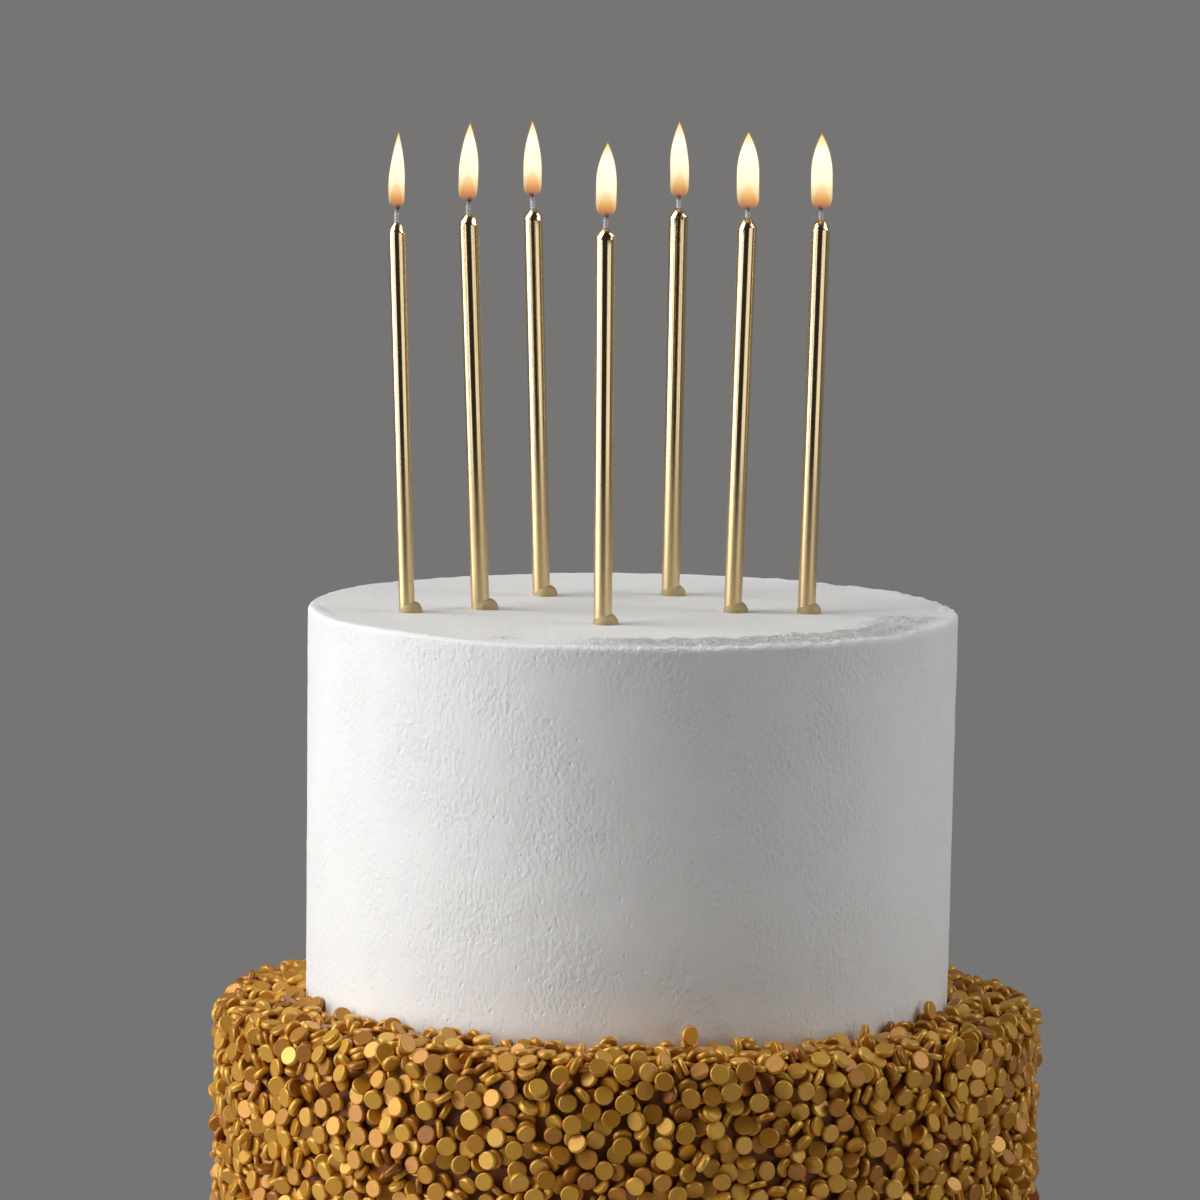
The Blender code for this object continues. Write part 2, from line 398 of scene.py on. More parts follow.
@dataclass(frozen=True)
class Buttercream(Finish):
    """American buttercream, smoothed with a scraper: matt, white, with fine pits and peel."""

    peel: float = 1.1 * MM
    pit_spacing: float = 3.0 * MM
    patch_size: float = 18.0 * MM
    crumb: float = 1.3 * MM
    shade: str = "E9E9E8"

    def detail(
        self, tree: bpy.types.NodeTree, shader: bpy.types.Node, place: bpy.types.NodeSocket
    ) -> None:
        """Adds a faint change of shade, patches of orange peel, pits and torn crumbs."""
        cloud = mottling(tree, place, self.patch_size, 3.0)
        tint(tree, shader, cloud, self.colour, self.shade)
        drawn = add_node(
            tree, "ShaderNodeMapping", inputs={"Vector": place, "Scale": (1.0, 1.0, 0.75)}
        )
        rougher = add_node(
            tree,
            "ShaderNodeValToRGB",
            {"stops": ((0.38, grey(0.25)), (0.62, grey(1.0)))},
            {"Fac": cloud},
        )
        peel = add_node(
            tree,
            "ShaderNodeTexNoise",
            inputs={
                "Vector": drawn.outputs[0],
                "Scale": 1.0 / self.peel,
                "Detail": 3.0,
                "Roughness": 0.5,
            },
        )
        pits = add_node(
            tree,
            "ShaderNodeTexVoronoi",
            inputs={"Vector": drawn.outputs[0], "Scale": 1.0 / self.pit_spacing},
        )
        hollow = add_node(
            tree,
            "ShaderNodeValToRGB",
            {"stops": ((0.04, grey(0.0)), (0.17, grey(1.0)))},
            {"Fac": pits.outputs["Distance"]},
        )
        pitted = add_node(
            tree,
            "ShaderNodeBump",
            inputs={"Height": hollow.outputs[0], "Strength": 0.5, "Distance": 0.22 * MM},
        )
        peeled = add_node(
            tree,
            "ShaderNodeBump",
            inputs={
                "Height": peel.outputs["Fac"],
                "Strength": rougher.outputs[0],
                "Distance": 0.34 * MM,
                "Normal": pitted.outputs[0],
            },
        )
        torn = add_node(tree, "ShaderNodeAttribute", {"attribute_name": "torn"})
        crumbs = add_node(
            tree,
            "ShaderNodeTexNoise",
            inputs={"Vector": place, "Scale": 1.0 / self.crumb, "Detail": 4.0, "Roughness": 0.6},
        )
        crumbled = add_node(
            tree,
            "ShaderNodeBump",
            inputs={
                "Height": crumbs.outputs["Fac"],
                "Strength": torn.outputs["Fac"],
                "Distance": 4.0 * MM,
                "Normal": peeled.outputs[0],
            },
        )
        tree.links.new(crumbled.outputs[0], shader.inputs["Normal"])
        shader.inputs["Subsurface Weight"].default_value = 0.12
        shader.inputs["Subsurface Scale"].default_value = 1.5 * MM
        shader.inputs["Specular IOR Level"].default_value = 0.3


@dataclass(frozen=True)
class CaramelFrosting(Finish):
    """The frosting that the confetti is pressed into: soft, brown and a little glossy."""

    lump: float = 3.0 * MM

    def detail(
        self, tree: bpy.types.NodeTree, shader: bpy.types.Node, place: bpy.types.NodeSocket
    ) -> None:
        """Adds soft lumps."""
        lumps = mottling(tree, place, self.lump, 2.0)
        bump = add_node(
            tree,
            "ShaderNodeBump",
            inputs={"Height": lumps, "Strength": 0.4, "Distance": 0.6 * MM},
        )
        tree.links.new(bump.outputs[0], shader.inputs["Normal"])


@dataclass(frozen=True)
class LustredSugar(Finish):
    """Pressed sugar confetti dusted with gold lustre: satin, mottled, paler where rubbed."""

    deep: str = "A8701F"
    speck: float = 0.8 * MM

    def detail(
        self, tree: bpy.types.NodeTree, shader: bpy.types.Node, place: bpy.types.NodeSocket
    ) -> None:
        """Varies the shade from disc to disc and mottles each disc's face."""
        tone = add_node(tree, "ShaderNodeAttribute", {"attribute_name": "tone"})
        mottle = mottling(tree, place, self.speck, 3.0)
        share = calculated(tree, "MULTIPLY_ADD", mottle, 0.55, tone.outputs["Fac"])
        clipped = add_node(
            tree,
            "ShaderNodeMath",
            {"operation": "SUBTRACT", "use_clamp": True},
            {0: share, 1: 0.28},
        )
        tint(tree, shader, clipped.outputs[0], self.colour, self.deep)
        bump = add_node(
            tree,
            "ShaderNodeBump",
            inputs={"Height": mottle, "Strength": 0.35, "Distance": 0.15 * MM},
        )
        tree.links.new(bump.outputs[0], shader.inputs["Normal"])
        shader.inputs["Specular IOR Level"].default_value = 0.7


@dataclass(frozen=True)
class GoldFoil(Finish):
    """Wax candle under metallised gold: mirror-bright above, where a paler gold is painted in as a painted
    reflection of the lamps, and satin in its lower third.
    """

    satin_colour: str = "DFC492"
    satin_roughness: float = 0.34
    satin_below: float = 0.222
    bright_above: float = 0.254
    handled: float = 5.0 * MM

    def detail(
        self, tree: bpy.types.NodeTree, shader: bpy.types.Node, place: bpy.types.NodeSocket
    ) -> None:
        """Makes the foot satin, with a soft uneven change and faint handling marks. Above it the colour is
        painted paler, a painted reflection of the lamps.
        """
        height = add_node(tree, "ShaderNodeSeparateXYZ", inputs={0: place}).outputs["Z"]
        marks = mottling(tree, place, self.handled, 4.0)
        uneven = calculated(tree, "MULTIPLY_ADD", marks, 6.0 * MM, height)
        bright = add_node(
            tree,
            "ShaderNodeMapRange",
            {"interpolation_type": "SMOOTHSTEP"},
            {"Value": uneven, "From Min": self.satin_below, "From Max": self.bright_above},
        )
        rough = add_node(
            tree,
            "ShaderNodeMix",
            {"data_type": "FLOAT"},
            {0: bright.outputs[0], 2: self.satin_roughness, 3: self.roughness},
        )
        worn = calculated(tree, "MULTIPLY_ADD", marks, 0.08, rough.outputs[0])
        tree.links.new(worn, shader.inputs["Roughness"])
        # Painted reflection: the base colour turns paler up the mirror-bright part, standing in for the
        # lamps' pale reflections; the foot keeps the deeper satin gold.
        tint(tree, shader, bright.outputs[0], self.satin_colour, self.colour)
        shader.inputs["Coat Weight"].default_value = 0.6
        shader.inputs["Coat Roughness"].default_value = 0.3


@dataclass(frozen=True)
class PooledWax(Finish):
    """Khaki wax pooled round a candle's foot: satin and slightly cloudy."""

    cloud: float = 1.5 * MM
    shade: str = "A08A62"

    def detail(
        self, tree: bpy.types.NodeTree, shader: bpy.types.Node, place: bpy.types.NodeSocket
    ) -> None:
        """Adds cloudiness."""
        clouds = mottling(tree, place, self.cloud, 2.0)
        tint(tree, shader, clouds, self.colour, self.shade)


@dataclass(frozen=True)
class BraidedCotton(Finish):
    """Waxed braided cotton: pale and fibrous, charred where it meets the flame."""

    char: str = "2A1A12"

    def detail(
        self, tree: bpy.types.NodeTree, shader: bpy.types.Node, place: bpy.types.NodeSocket
    ) -> None:
        """Chars the wick's end."""
        along = add_node(tree, "ShaderNodeAttribute", {"attribute_name": "along"})
        colour = add_node(
            tree,
            "ShaderNodeValToRGB",
            {
                "stops": (
                    (0.55, srgb(self.colour)),
                    (0.86, srgb(self.char)),
                    (0.74, srgb("8A7A70")),
                )
            },
            {"Fac": along.outputs["Fac"]},
        )
        tree.links.new(colour.outputs[0], shader.inputs["Base Color"])


@dataclass(frozen=True)
class Glow(Finish):
    """Burning gas: no surface of its own, only light that varies up the flame."""

    strength: float = 1.0
    light: tuple[tuple[float, str], ...] = ()
    cover: tuple[tuple[float, float], ...] = ()

    def detail(
        self, tree: bpy.types.NodeTree, shader: bpy.types.Node, place: bpy.types.NodeSocket
    ) -> None:
        """Sets the light's colour and the flame's cover by height."""
        rise = add_node(tree, "ShaderNodeAttribute", {"attribute_name": "rise"}).outputs["Fac"]
        light = add_node(
            tree,
            "ShaderNodeValToRGB",
            {"stops": tuple((place_up, srgb(code)) for place_up, code in self.light)},
            {"Fac": rise},
        )
        cover = add_node(
            tree,
            "ShaderNodeValToRGB",
            {"stops": tuple((place_up, grey(value)) for place_up, value in self.cover)},
            {"Fac": rise},
        )
        tree.links.new(light.outputs[0], shader.inputs["Emission Color"])
        tree.links.new(cover.outputs[0], shader.inputs["Alpha"])
        shader.inputs["Emission Strength"].default_value = self.strength
        shader.inputs["Specular IOR Level"].default_value = 0.0

    def material(self) -> bpy.types.Material:
        """Makes the material, and leaves it out of the lamps that are sampled."""
        made = super().material()
        made.cycles.emission_sampling = "NONE"
        return made


BUTTERCREAM = Buttercream("buttercream_scraped_white", "F2F2F1", 0.55)
FROSTING = CaramelFrosting("frosting_caramel", "7E450E", 0.6)
FOIL = GoldFoil("candle_foil_gold", "F1D7A6", 0.12, 1.0)
BEAD_WAX = PooledWax("wax_khaki_pooled", "C0AA80", 0.5)
WICK_COTTON = BraidedCotton("cotton_braided_waxed", "C9C9CE", 0.7)


class Shade(Enum):
    """The shades of gold that the confetti comes in, with each one's share of the discs."""

    STRAW = ("straw", "E8B448", "CA922C", 0.20)
    HONEY = ("honey", "DFA83C", "C08824", 0.22)
    GOLD = ("gold", "D59B30", "B2771C", 0.24)
    AMBER = ("amber", "C98C24", "A46815", 0.20)
    BRONZE = ("bronze", "BA7B1B", "905510", 0.14)

    def finish(self) -> LustredSugar:
        """The shade's finish."""
        label, colour, deep, _ = self.value
        return LustredSugar("sugar_confetti_" + label, colour, 0.36, 0.30, deep=deep)


class FlameLayer(Enum):
    """The layers of a flame, from its faint outer mantle to the dark heart at its wick."""

    MANTLE = "mantle"
    BODY = "body"
    HEART = "heart"

    def finish(self) -> Glow:
        """The layer's glow."""
        return FLAME_GLOWS[self]


FLAME_GLOWS = {
    FlameLayer.MANTLE: Glow(
        "flame_mantle_amber",
        "000000",
        1.0,
        strength=1.0,
        light=((0.0, "B08060"), (1.0, "C89038"), (0.5, "A87A48")),
        cover=((0.0, 0.0), (1.0, 0.30), (0.2, 0.14)),
    ),
    FlameLayer.BODY: Glow(
        "flame_body_white",
        "000000",
        1.0,
        strength=1.4,
        light=(
            (0.0, "A87050"),
            (1.0, "F0DC78"),
            (0.07, "E0A468"),
            (0.16, "FFDE90"),
            (0.30, "FFF4C8"),
            (0.80, "FFFDF0"),
        ),
        cover=((0.0, 0.0), (0.42, 1.0), (0.06, 0.25), (0.16, 0.34), (0.30, 0.60)),
    ),
    FlameLayer.HEART: Glow(
        "flame_heart_orange",
        "000000",
        1.0,
        strength=1.0,
        light=((0.0, "8C6660"), (1.0, "FFE9A8"), (0.30, "C86C34"), (0.62, "EE963C")),
        cover=((0.0, 0.35), (1.0, 0.0), (0.16, 0.95), (0.72, 0.95)),
    ),
}


# ---------------------------------------------------------------- upper tier


@dataclass(frozen=True)
class RoughPatch:
    """A place on the tier's top where the scraper left the buttercream torn or ridged."""

    angle: float
    radius: float
    half_angle: float
    half_width: float
    height: float
    grain: float
    crumbs: float

    def strength(self, points: np.ndarray) -> np.ndarray:
        """How much of the patch each point gets, from 0 to 1."""
        angle = np.degrees(np.arctan2(points[:, 1], points[:, 0]))
        turn = (angle - self.angle + 180.0) % 360.0 - 180.0
        out = np.hypot(points[:, 0], points[:, 1])
        around = np.clip(1.0 - np.abs(turn) / self.half_angle, 0.0, 1.0)
        across = np.clip(1.0 - np.abs(out - self.radius) / self.half_width, 0.0, 1.0)
        return smooth_step(around, 0.0, 0.6) * smooth_step(across, 0.0, 0.6)


@dataclass
class UpperTier:
    """The white buttercream tier: its scraped wall, soft rim and level top."""

    sides: int = 560
    wall_rows: int = 118
    rim_rounding: float = 1.1 * MM
    wall_wave: float = 0.22 * MM
    wave_grain: float = 30.0 * MM
    ripple: float = 0.07 * MM
    ripple_grain: float = 6.0 * MM
    pit: float = 0.04 * MM
    pit_grain: float = 2.4 * MM
    rim_wave: float = 0.30 * MM
    rim_rag: float = 0.10 * MM
    rim_rag_grain: float = 3.2 * MM
    patches: tuple[RoughPatch, ...] = (
        RoughPatch(-74.0, 70.0 * MM, 38.0, 13.0 * MM, 0.55 * MM, 2.0 * MM, 1.0),
        RoughPatch(-40.0, 71.0 * MM, 26.0, 11.0 * MM, 0.65 * MM, 2.2 * MM, 1.0),
        RoughPatch(-17.0, 68.0 * MM, 17.0, 12.0 * MM, 0.90 * MM, 3.0 * MM, 0.8),
        RoughPatch(4.0, 78.0 * MM, 7.0, 3.0 * MM, 0.60 * MM, 4.0 * MM, 0.3),
        RoughPatch(24.0, 77.5 * MM, 20.0, 4.0 * MM, 0.40 * MM, 2.6 * MM, 0.4),
        RoughPatch(55.0, 78.5 * MM, 25.0, 3.0 * MM, 0.30 * MM, 3.6 * MM, 0.2),
        RoughPatch(187.0, 78.6 * MM, 14.0, 2.6 * MM, 0.80 * MM, 9.0 * MM, 0.0),
        RoughPatch(-116.0, 71.0 * MM, 5.0, 4.0 * MM, 0.20 * MM, 2.0 * MM, 0.6),
    )

    def profile(self) -> np.ndarray:
        """The (radius, height) rows from the middle of the top down to the middle of the base."""
        low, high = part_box("tier_upper")
        rim = high.x - 0.2 * MM
        top = 2.0 * low.z
        foot_radius = rim - 0.8 * MM
        level = [[0.0, top]]
        level += [[r * MM, top] for r in (2, 5, 9, 14, 19, 24, 29, 34, 39, 44, 48, 52, 56, 59, 62)]
        level += [[r, top] for r in np.arange(64.0 * MM, rim - self.rim_rounding, 0.9 * MM)]
        turn = np.radians(np.linspace(90.0, 0.0, 5))
        corner = np.stack(
            [
                rim + self.rim_rounding * (np.cos(turn) - 1.0),
                top + self.rim_rounding * (np.sin(turn) - 1.0),
            ],
            axis=1,
        )
        heights = np.linspace(top - self.rim_rounding, low.z, self.wall_rows + 1)[1:]
        share = (heights - low.z) / (top - low.z)
        wall = np.stack([foot_radius + (rim - foot_radius) * share, heights], axis=1)
        base = [[foot_radius * s, low.z] for s in (0.8, 0.4, 0.0)]
        return np.concatenate([level, corner, wall, base])

    def build(self) -> bpy.types.Object:
        """Makes the tier with its waves, pits and torn places."""
        low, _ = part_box("tier_upper")
        points, faces = revolved(self.profile(), self.sides)
        noise = SmoothNoise(11)
        out = np.hypot(points[:, 0], points[:, 1])
        rim = out.max()
        top = points[:, 2].max()
        outward = points * np.array([1.0, 1.0, 0.0]) / np.maximum(out, MM)[:, None]
        on_wall = smooth_step(out, rim - 3.0 * MM, rim - 1.2 * MM)
        on_wall *= smooth_step(points[:, 2], low.z + 0.5 * MM, low.z + 6.0 * MM)
        on_top = smooth_step(points[:, 2], top - 1.4 * MM, top - 0.3 * MM)
        near_rim = smooth_step(out, rim - 14.0 * MM, rim - 1.0 * MM)
        edge = smooth_step(out, rim - 3.2 * MM, rim - 0.6 * MM) * smooth_step(
            points[:, 2], top - 2.0 * MM, top - 0.5 * MM
        )
        wall = self.wall_wave * noise.at(points, self.wave_grain)
        wall += self.ripple * noise.at(points + 0.31, self.ripple_grain)
        wall += self.pit * noise.at(points + 0.57, self.pit_grain)
        wall += edge * self.rim_rag * noise.at(points + 0.83, self.rim_rag_grain)
        lift = near_rim * self.rim_wave * noise.at(points + 0.12, self.wave_grain)
        lift += self.ripple * 0.8 * noise.at(points + 0.44, self.ripple_grain)
        lift += self.pit * 0.6 * noise.at(points + 0.73, self.pit_grain)
        lift += edge * self.rim_rag * noise.at(points + 0.27, self.rim_rag_grain)
        crumbs = np.zeros(len(points))
        for number, patch in enumerate(self.patches):
            torn = noise.at(points + 0.19 * (number + 1), patch.grain)
            torn += 0.5 * noise.at(points + 0.41, 0.5 * patch.grain)
            lift += patch.height * (0.35 + torn) * patch.strength(points)
            crumbs = np.maximum(crumbs, patch.crumbs * patch.strength(points) * on_top)
        points = points + outward * (wall * on_wall)[:, None]
        points[:, 2] += lift * on_top
        marks = {"torn": crumbs}
        tier = piece_from("buttercream_tier", points, faces, BUTTERCREAM.material(), marks)
        return hand_over(tier, "buttercream", "tier_upper")


# ---------------------------------------------------------------- lower tier


@dataclass
class ConfettiCoat:
    """The lower tier: caramel frosting with gold confetti pressed into its side and ledge."""

    core_radius: float = 98.2 * MM
    core_top: float = 100.9 * MM
    core_rounding: float = 2.5 * MM
    disc_radius: float = 2.36 * MM
    disc_thickness: float = 1.45 * MM
    disc_rounding: float = 0.3 * MM
    disc_sides: int = 14
    cell: float = 0.45 * MM
    path_lift: float = 2.0 * MM
    squeeze: float = 0.33 * MM
    sink: float = 1.9 * MM
    heap_height: float = 2.6 * MM
    heap_reach: float = 4.5 * MM
    stacked: float = 0.16
    foot_gap: float = 0.75 * MM
    attempts: int = 16000
    tries: int = 16
    seed: int = 5
    wall_radius: float = field(init=False)

    def __post_init__(self) -> None:
        """Reads the upper tier's foot from the frame."""
        low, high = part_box("tier_upper")
        self.wall_radius = high.x - 0.9 * MM
        self.ledge = self.core_radius - self.core_rounding - self.wall_radius
        self.corner = (self.core_rounding + self.path_lift) * math.pi / 2.0
        self.side = self.core_top - self.core_rounding
        self.reach = self.ledge + self.corner + self.side - self.foot_gap
        self.rng = np.random.default_rng(self.seed)

    def on_path(self, along: np.ndarray) -> tuple[np.ndarray, np.ndarray, np.ndarray]:
        """Finds places on the core's outline. Distances are measured a little outside the core.

        Args:
            along: Distances from the upper tier's wall, out over the ledge and down the side.

        Returns:
            Their radii, their heights and how far the surface has turned from level, in radians.
        """
        turn = np.clip((along - self.ledge) / self.corner, 0.0, 1.0) * math.pi / 2.0
        level = np.minimum(along, self.ledge)
        down = np.maximum(along - self.ledge - self.corner, 0.0)
        radius = self.wall_radius + level + self.core_rounding * np.sin(turn)
        height = self.core_top - self.core_rounding * (1.0 - np.cos(turn)) - down
        return radius, height, turn

    def disc_samples(self) -> np.ndarray:
        """Points all over a disc's surface, a squeeze inside it, three rows of numbers."""
        step = 0.36 * MM
        size = self.disc_radius - self.squeeze
        half = self.disc_thickness / 2.0 - 0.4 * self.squeeze
        line = np.arange(-size, size + step, step)
        x, y = np.meshgrid(line, line)
        inside = np.hypot(x, y) < size
        x, y = x[inside], y[inside]
        faces = [np.stack([x, y, np.full_like(x, z)]) for z in (-half, half)]
        turn = np.linspace(0.0, 2.0 * math.pi, 46, endpoint=False)
        ring = np.stack([size * np.cos(turn), size * np.sin(turn)])
        rims = [np.concatenate([ring, np.full((1, 46), z)]) for z in (-0.7 * half, 0.0, 0.7 * half)]
        return np.concatenate([*faces, *rims], axis=1)

    def random_turns(self, tilt: np.ndarray) -> np.ndarray:
        """Rotations that tip a disc by each tilt, towards a random side, with a random roll."""
        towards = self.rng.uniform(0.0, 2.0 * math.pi, len(tilt))
        roll = self.rng.uniform(0.0, 2.0 * math.pi, len(tilt))
        return np.array(
            [
                np.array(
                    Matrix.Rotation(a, 3, "Z") @ Matrix.Rotation(t, 3, "X") @ Matrix.Rotation(b, 3, "Z")
                )
                for a, t, b in zip(towards, tilt, roll)
            ]
        )

    def settle(self) -> list[tuple[float, float, float, np.ndarray]]:
        """Drops discs onto the core one by one until they cover it.

        Returns:
            Each disc's angle, its distance along the outline, its height over the core and its
            rotation in the surface's own directions.
        """
        around = int(2.0 * math.pi * self.core_radius / self.cell)
        rows = int(self.reach / self.cell)
        relief = np.full((rows, around), -self.sink)
        samples = self.disc_samples()
        found = []

        def contact(
            angle: np.ndarray, along: np.ndarray, turns: np.ndarray, sunk: float
        ) -> tuple[np.ndarray, np.ndarray, np.ndarray, np.ndarray]:
            """The cells under each disc, its points' heights and the height it rests at."""
            spread = turns @ samples
            s = along[:, None] + spread[:, 0]
            radius = self.on_path(along)[0]
            a = angle[:, None] + spread[:, 1] / radius[:, None]
            row = np.floor(s / self.cell).astype(int)
            column = np.floor(a / (2.0 * math.pi) * around).astype(int) % around
            outside = (row < 0) | (row >= rows)
            rest = (relief[np.clip(row, 0, rows - 1), column] - spread[:, 2]).max(axis=1)
            rest = np.maximum(rest, -sunk - spread[:, 2].min(axis=1))
            rest = np.where(outside.any(axis=1), 1.0, rest)
            return row, column, spread[:, 2], rest

        for _ in range(self.attempts):
            kind = self.rng.uniform()
            if kind < 0.28:
                tilt = np.abs(self.rng.normal(0.0, math.radians(20.0), self.tries))
                ceiling, sunk = 3.6 * MM, 0.1 * MM
            elif kind < 0.72:
                tilt = np.radians(self.rng.uniform(22.0, 60.0, self.tries))
                ceiling, sunk = 4.2 * MM, 0.9 * MM
            else:
                tilt = np.radians(self.rng.uniform(60.0, 88.0, self.tries))
                ceiling, sunk = 4.6 * MM, self.sink
            turns = self.random_turns(tilt)
            row = self.rng.integers(0, rows, 4 * self.tries)
            column = self.rng.integers(0, around, 4 * self.tries)
            low = np.argsort(relief[row, column])[: self.tries]
            angle = (column[low] + 0.5) / around * 2.0 * math.pi
            along = (row[low] + 0.5) * self.cell
            row, column, tall, rest = contact(angle, along, turns, sunk)
            best = int(np.argmin(rest))
            heap = self.heap_height * math.exp(-along[best] / self.heap_reach)
            top = rest[best] + tall[best].max()
            if top > ceiling + heap:
                continue
            np.maximum.at(relief, (row[best], column[best]), rest[best] + tall[best])
            found.append((angle[best], along[best], rest[best], turns[best]))
            if self.rng.uniform() < self.stacked and top + self.disc_thickness < ceiling + heap + 0.8 * MM:
                slip = self.rng.normal(0.0, 0.45 * MM, 2)
                radius = self.on_path(along[best : best + 1])[0][0]
                normal = turns[best] @ np.array([0.0, 0.0, self.disc_thickness + 0.03 * MM])
                if normal[2] < 0.0:
                    normal = -normal
                second = (
                    np.array([angle[best] + (normal[1] + slip[1]) / radius]),
                    np.array([along[best] + normal[0] + slip[0]]),
                    turns[best : best + 1],
                    sunk,
                )
                row, column, tall, rest = contact(*second)
                if rest[0] < 0.9:
                    np.maximum.at(relief, (row[0], column[0]), rest[0] + tall[0])
                    found.append((second[0][0], second[1][0], rest[0], turns[best]))
        return found

    def seeds(self, discs: list, tones: np.ndarray, sizes: np.ndarray) -> bpy.types.Mesh:
        """Makes a mesh of one point for each disc, marked with how the disc lies."""
        angle = np.array([d[0] for d in discs])
        along = np.array([d[1] for d in discs])
        height = np.array([d[2] for d in discs])
        radius, level, turn = self.on_path(along)
        radius = radius + height * np.sin(turn)
        level = level + height * np.cos(turn)
        points = np.stack([radius * np.cos(angle), radius * np.sin(angle), level], axis=1)
        mesh = bpy.data.meshes.new("confetti_seeds")
        mesh.from_pydata(points.tolist(), [], [])
        quaternions = []
        for a, t, disc in zip(angle, turn, discs):
            outward = Vector((math.cos(a), math.sin(a), 0.0))
            upward = Vector((0.0, 0.0, 1.0))
            down_path = outward * math.cos(t) - upward * math.sin(t)
            sideways = Vector((-math.sin(a), math.cos(a), 0.0))
            normal = outward * math.sin(t) + upward * math.cos(t)
            surface = Matrix((down_path, sideways, normal)).transposed()
            quaternions.extend((surface @ Matrix(disc[3].tolist())).to_quaternion())
        turns = mesh.attributes.new("turn", "QUATERNION", "POINT")
        turns.data.foreach_set("value", np.array(quaternions, np.float32))
        scale = mesh.attributes.new("size", "FLOAT_VECTOR", "POINT")
        scale.data.foreach_set("vector", sizes.astype(np.float32).ravel())
        tone = mesh.attributes.new("tone", "FLOAT", "POINT")
        tone.data.foreach_set("value", tones.astype(np.float32))
        return mesh

    def disc_tree(self) -> bpy.types.NodeTree:
        """A tree that makes a round-edged disc at every point and turns it as marked."""
        numbers = {"Radius": "Float", "Thickness": "Float", "Rounding": "Float", "Sides": "Int"}
        tree, given = open_tree("confetti_discs", numbers)
        drum = add_node(
            tree,
            "GeometryNodeMeshCylinder",
            inputs={
                "Vertices": given["Sides"],
                "Side Segments": 3,
                "Radius": given["Radius"],
                "Depth": given["Thickness"],
            },
        )
        position = add_node(tree, "GeometryNodeInputPosition").outputs[0]
        place = add_node(tree, "ShaderNodeSeparateXYZ", inputs={0: position}).outputs
        height = calculated(tree, "ABSOLUTE", place["Z"])
        third = calculated(tree, "DIVIDE", given["Thickness"], 3.0)
        end_ring = calculated(tree, "GREATER_THAN", height, third)
        inset = calculated(tree, "DIVIDE", given["Rounding"], given["Radius"])
        drawn_in = calculated(tree, "MULTIPLY", inset, end_ring)
        keep = calculated(tree, "SUBTRACT", 1.0, drawn_in)
        half = calculated(tree, "MULTIPLY", given["Thickness"], 0.5)
        shoulder = calculated(tree, "SUBTRACT", half, given["Rounding"])
        ring_height = add_node(
            tree, "ShaderNodeMix", {"data_type": "FLOAT"}, {0: end_ring, 2: shoulder, 3: half}
        )
        side = calculated(tree, "SIGN", place["Z"])
        moved = add_node(
            tree,
            "ShaderNodeCombineXYZ",
            inputs={
                "X": calculated(tree, "MULTIPLY", place["X"], keep),
                "Y": calculated(tree, "MULTIPLY", place["Y"], keep),
                "Z": calculated(tree, "MULTIPLY", side, ring_height.outputs[0]),
            },
        )
        rounded = add_node(
            tree,
            "GeometryNodeSetPosition",
            inputs={"Geometry": drum.outputs["Mesh"], "Position": moved.outputs[0]},
        )
        flat = add_node(
            tree,
            "GeometryNodeSetShadeSmooth",
            inputs={"Geometry": rounded.outputs[0], "Shade Smooth": drum.outputs["Side"]},
        )
        turn, size = (
            add_node(tree, "GeometryNodeInputNamedAttribute", {"data_type": kind}, {"Name": name})
            for kind, name in (("QUATERNION", "turn"), ("FLOAT_VECTOR", "size"))
        )
        copies = add_node(
            tree,
            "GeometryNodeInstanceOnPoints",
            inputs={
                "Points": given["Geometry"],
                "Instance": flat.outputs[0],
                "Rotation": turn.outputs["Attribute"],
                "Scale": size.outputs["Attribute"],
            },
        )
        real = add_node(tree, "GeometryNodeRealizeInstances", inputs={"Geometry": copies.outputs[0]})
        dressed = add_node(
            tree,
            "GeometryNodeSetMaterial",
            inputs={"Geometry": real.outputs[0], "Material": given["Finish"]},
        )
        add_node(tree, "NodeGroupOutput", inputs={0: dressed.outputs[0]})
        return tree

    def core(self) -> bpy.types.Object:
        """The frosted tier under the confetti."""
        over_corner = self.ledge + self.corner * np.linspace(0.2, 1.0, 5)
        along = np.concatenate([np.linspace(0.0, self.ledge, 8), over_corner])
        radius, height, _ = self.on_path(along)
        top = [[0.0, self.core_top - 1.2 * MM], [self.wall_radius - MM, self.core_top - 1.2 * MM]]
        side = [[self.core_radius, z] for z in np.linspace(height[-1], 1.5 * MM, 40)[1:]]
        foot = [[self.core_radius - 1.5 * MM, 0.0], [0.0, 0.0]]
        profile = np.concatenate([top, np.stack([radius, height], axis=1), side, foot])
        points, faces = revolved(profile, 240)
        noise = SmoothNoise(23)
        out = np.hypot(points[:, 0], points[:, 1])
        outward = points * np.array([1.0, 1.0, 0.0]) / np.maximum(out, MM)[:, None]
        waves = -0.35 * MM * np.abs(noise.at(points, 7.0 * MM)) * smooth_step(out, 0.09, 0.097)
        waves *= smooth_step(points[:, 2], 1.0 * MM, 4.0 * MM)
        points = points + outward * waves[:, None]
        tier = piece_from("frosted_tier", points, faces, FROSTING.material())
        return hand_over(tier, "gold_sprinkles", "tier_lower")

